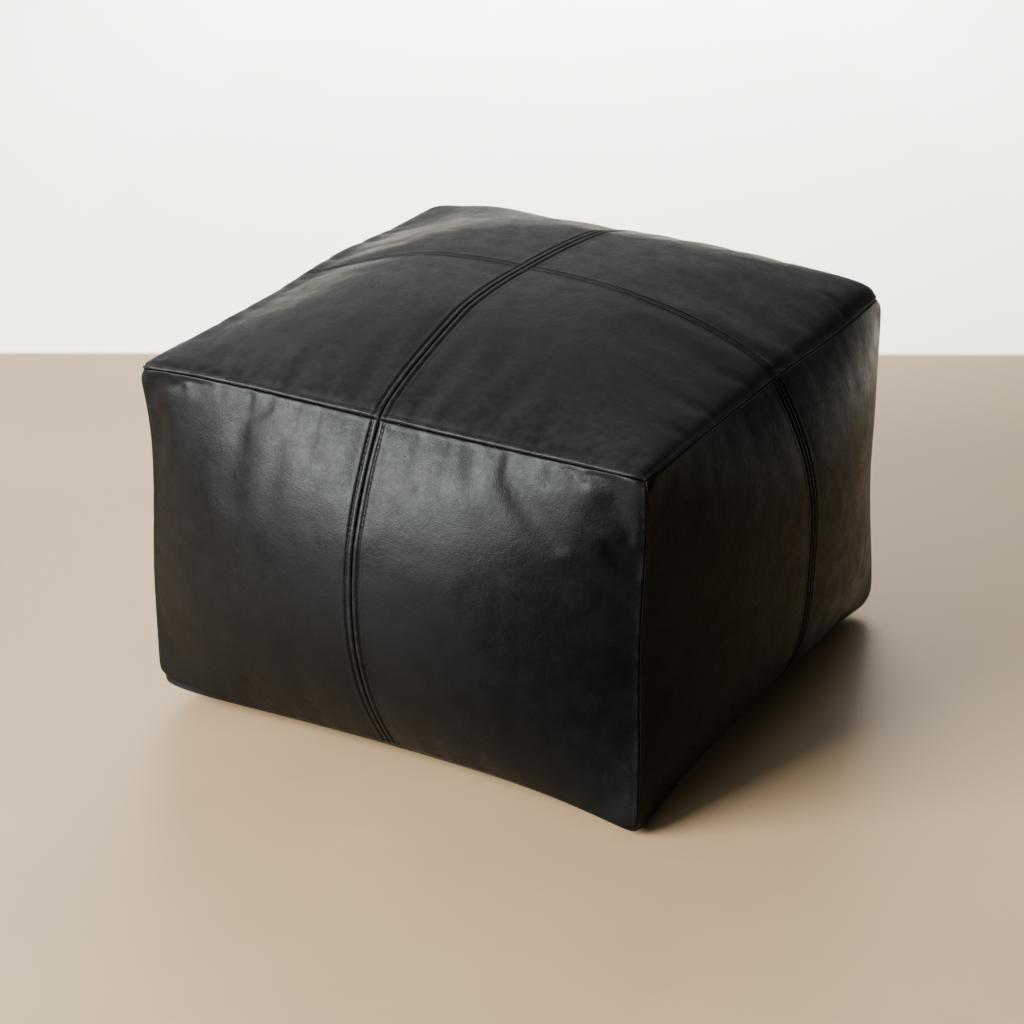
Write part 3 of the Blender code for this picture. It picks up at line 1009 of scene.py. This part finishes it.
def threadFinish():
    finish, tree, surface = newFinish("waxed_thread", {"Roughness": 0.7, "Specular IOR Level": 0.04})
    place = addNode(tree, "TexCoord").outputs["Object"]
    twist = addNode(tree, "TexWave", bands_direction="DIAGONAL", Scale=620.0, Distortion=0.4)
    tree.links.new(place, twist.inputs["Vector"])
    fibre = combine(tree, "MULTIPLY", twist.outputs["Fac"], noise(tree, place, 900, 2))
    colour = blendColours(tree, fibre, (0.0004, 0.0004, 0.0004), (0.0022, 0.0021, 0.0020))
    paint(tree, surface, colour, addBump(tree, twist.outputs["Fac"], 0.5, 0.0002))
    return finish


def metalFinish():
    finish, tree, surface = newFinish("blackened_steel", {"Metallic": 1.0})
    place = addNode(tree, "TexCoord").outputs["Object"]
    scratches = noise(tree, place, 800, 6, 0.7)
    colour = blendColours(tree, scratches, (0.035, 0.035, 0.037), (0.12, 0.12, 0.125))
    tree.links.new(spread(tree, scratches, 0.3, 0.7, 0.28, 0.50), surface.inputs["Roughness"])
    paint(tree, surface, colour, addBump(tree, noise(tree, place, 1500, 2), 0.15, 0.0001))
    return finish


def nylonFinish():
    finish, tree, surface = newFinish("black_nylon", {"Roughness": 0.35})
    place = addNode(tree, "TexCoord").outputs["Object"]
    cloud = noise(tree, place, 500, 3)
    colour = blendColours(tree, cloud, (0.010, 0.010, 0.010), (0.022, 0.022, 0.022))
    paint(tree, surface, colour, addBump(tree, cloud, 0.2, 0.0001))
    return finish


def dress(piece, finish):
    piece.data.materials.clear()
    piece.data.materials.append(finish)


leatherMade = leatherFinish(blackLeather)
cottonMade = wovenFinish("natural_cotton", ((0.46, 0.41, 0.32), (0.72, 0.67, 0.56)), 1400, 0.9)
blackTapeMade = wovenFinish("black_tape", ((0.006, 0.006, 0.006), (0.020, 0.020, 0.020)), 1700, 0.75)
threadMade = threadFinish()
metalMade = metalFinish()
nylonMade = nylonFinish()
for panel in leatherPanels.values():
    dress(panel, leatherMade)
for piece in stitching:
    dress(piece, threadMade)
for piece in seamTapes:
    dress(piece, cottonMade)
dress(innerBag, cottonMade)
dress(filling, waddingFinish())
for piece in zipTapes:
    dress(piece, blackTapeMade)
for piece in zipCoils:
    dress(piece, nylonMade)
for name in ("zip_top_stop_front", "zip_top_stop_back", "zip_bottom_stop", "zip_slider", "zip_pull_tab"):
    dress(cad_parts[name], metalMade)
print("finishes made")


# floor and light

studio = {
    "near": (0.205, 0.151, 0.086),
    "far": (0.86, 0.825, 0.73),
    "turn": 29.2,             # the floor pales in this direction, between these distances
    "palesFrom": 0.796,
    "palesTo": 0.814,
    "lampColour": (1.0, 0.955, 0.905),
    "keyPlace": (-1.40, -2.55, 1.45),
    "keyAim": (0, 0, 0.2),
    "lampWidth": 2.0,
    "lampHeight": 1.5,
    "keyPower": 790,
    "backPlace": (-1.9, 3.6, 1.6),
    "backAim": (-1.1, 2.1, 0),
    "backPower": 190,
    "backSpread": 80,
    "skyBright": 1.75,        # the room is bright on the left and dim on the right,
    "skyDim": 0.12,
    "skyLow": 0.30,           # and it brightens upwards
    "skyHigh": 1.86,
    "sky": (1.0, 0.985, 0.95),
}


def makeFloor(settings):
    bpy.ops.object.select_all(action="DESELECT")
    bpy.ops.mesh.primitive_plane_add(size=60)
    floor = bpy.context.object
    floor.name = "floor"
    finish, tree, surface = newFinish("floor_paint", {"Specular IOR Level": 0.4})
    place = addNode(tree, "TexCoord").outputs["Object"]
    turn = math.radians(settings["turn"])
    depth = addNode(tree, "VectorMath", operation="DOT_PRODUCT")
    depth.inputs[1].default_value = (-math.sin(turn), math.cos(turn), 0)
    tree.links.new(place, depth.inputs[0])
    far = addNode(tree, "MapRange", interpolation_type="SMOOTHSTEP")
    far.inputs["From Min"].default_value = settings["palesFrom"]
    far.inputs["From Max"].default_value = settings["palesTo"]
    tree.links.new(depth.outputs["Value"], far.inputs["Value"])
    clouds = noise(tree, place, 2.6, 7, 0.62)
    dark = tuple(0.90 * c for c in settings["near"])
    nearColour = blendColours(tree, spread(tree, clouds, 0.35, 0.65, 0, 1), dark, settings["near"])
    colour = blendColours(tree, far.outputs["Result"], nearColour, settings["far"])
    tree.links.new(colour, surface.inputs["Base Color"])
    tree.links.new(spread(tree, clouds, 0.35, 0.65, 0.34, 0.50), surface.inputs["Roughness"])
    floor.data.materials.append(finish)


def makeLight(settings):
    for name in ("key", "back"):
        bpy.ops.object.light_add(type="AREA", location=settings[name + "Place"])
        panel = bpy.context.object
        panel.name = name + "_light"
        panel.data.shape = "RECTANGLE"
        panel.data.size = settings["lampWidth"]
        panel.data.size_y = settings["lampHeight"]
        panel.data.energy = settings[name + "Power"]
        panel.data.color = settings["lampColour"]
        aim = Vector(settings[name + "Aim"])
        panel.rotation_euler = (aim - panel.location).to_track_quat("-Z", "Y").to_euler()
    panel.data.spread = math.radians(settings["backSpread"])  # the back light only brightens the far floor
    panel.visible_glossy = False
    sky = bpy.data.worlds.new("room")
    bpy.context.scene.world = sky
    sky.use_nodes = True
    tree = sky.node_tree
    side = addNode(tree, "SeparateXYZ")
    tree.links.new(addNode(tree, "TexCoord").outputs["Generated"], side.inputs[0])
    bright = spread(tree, side.outputs["X"], -0.7, 0.4, settings["skyBright"], settings["skyDim"])
    room = tree.nodes["Background"]
    room.inputs["Color"].default_value = (*settings["sky"], 1)
    height = spread(tree, side.outputs["Z"], 0.0, 0.65, settings["skyLow"], settings["skyHigh"])
    tree.links.new(combine(tree, "MULTIPLY", bright, height), room.inputs["Strength"])


makeFloor(studio)
makeLight(studio)
print("floor and light made")
